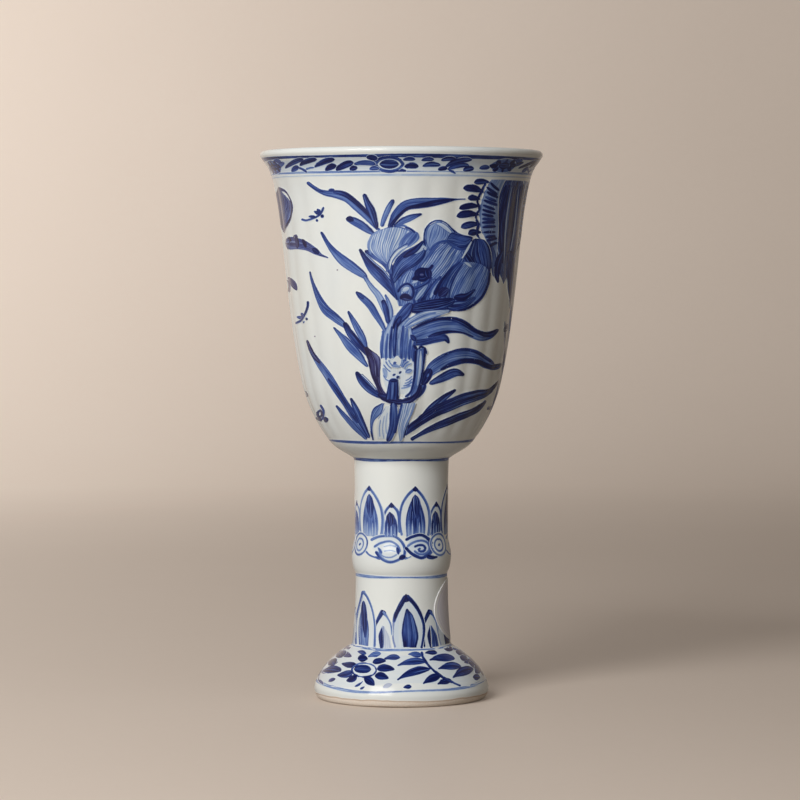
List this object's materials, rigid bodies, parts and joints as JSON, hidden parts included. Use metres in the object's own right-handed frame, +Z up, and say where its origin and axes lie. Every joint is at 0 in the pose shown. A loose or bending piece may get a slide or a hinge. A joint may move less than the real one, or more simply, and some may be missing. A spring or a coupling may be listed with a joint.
{
  "type": "stem cup",
  "caption": "Porcelain stem cup: a tall lobed bell bowl with a flared lip on a hollow knopped stem and a domed spreading foot, painted in cobalt blue with flowering plants.",
  "frame": {"origin": "centre of the flat standing ring, on the surface that the cup stands on", "axes": "+Z up along the axis of the cup, -Y towards the painted front, +X to the right of that front"},
  "size_m": [0.0908, 0.0908, 0.176],
  "materials": {
    "glazed_porcelain": "clear glossy glaze over cobalt blue painting, foot ring left bare",
    "luting_slip": "fired porcelain slip",
    "label_paper": "plain satin paper with printed rings"
  },
  "bodies": {
    "root": {"bowl": "glazed_porcelain", "bowl_slip": "luting_slip", "upper_stem": "glazed_porcelain", "knop_top_slip": "luting_slip", "knop": "glazed_porcelain", "knop_base_slip": "luting_slip", "lower_stem": "glazed_porcelain", "foot_slip": "luting_slip", "foot": "glazed_porcelain", "round_label": "label_paper"}
  },
  "joints": []
}
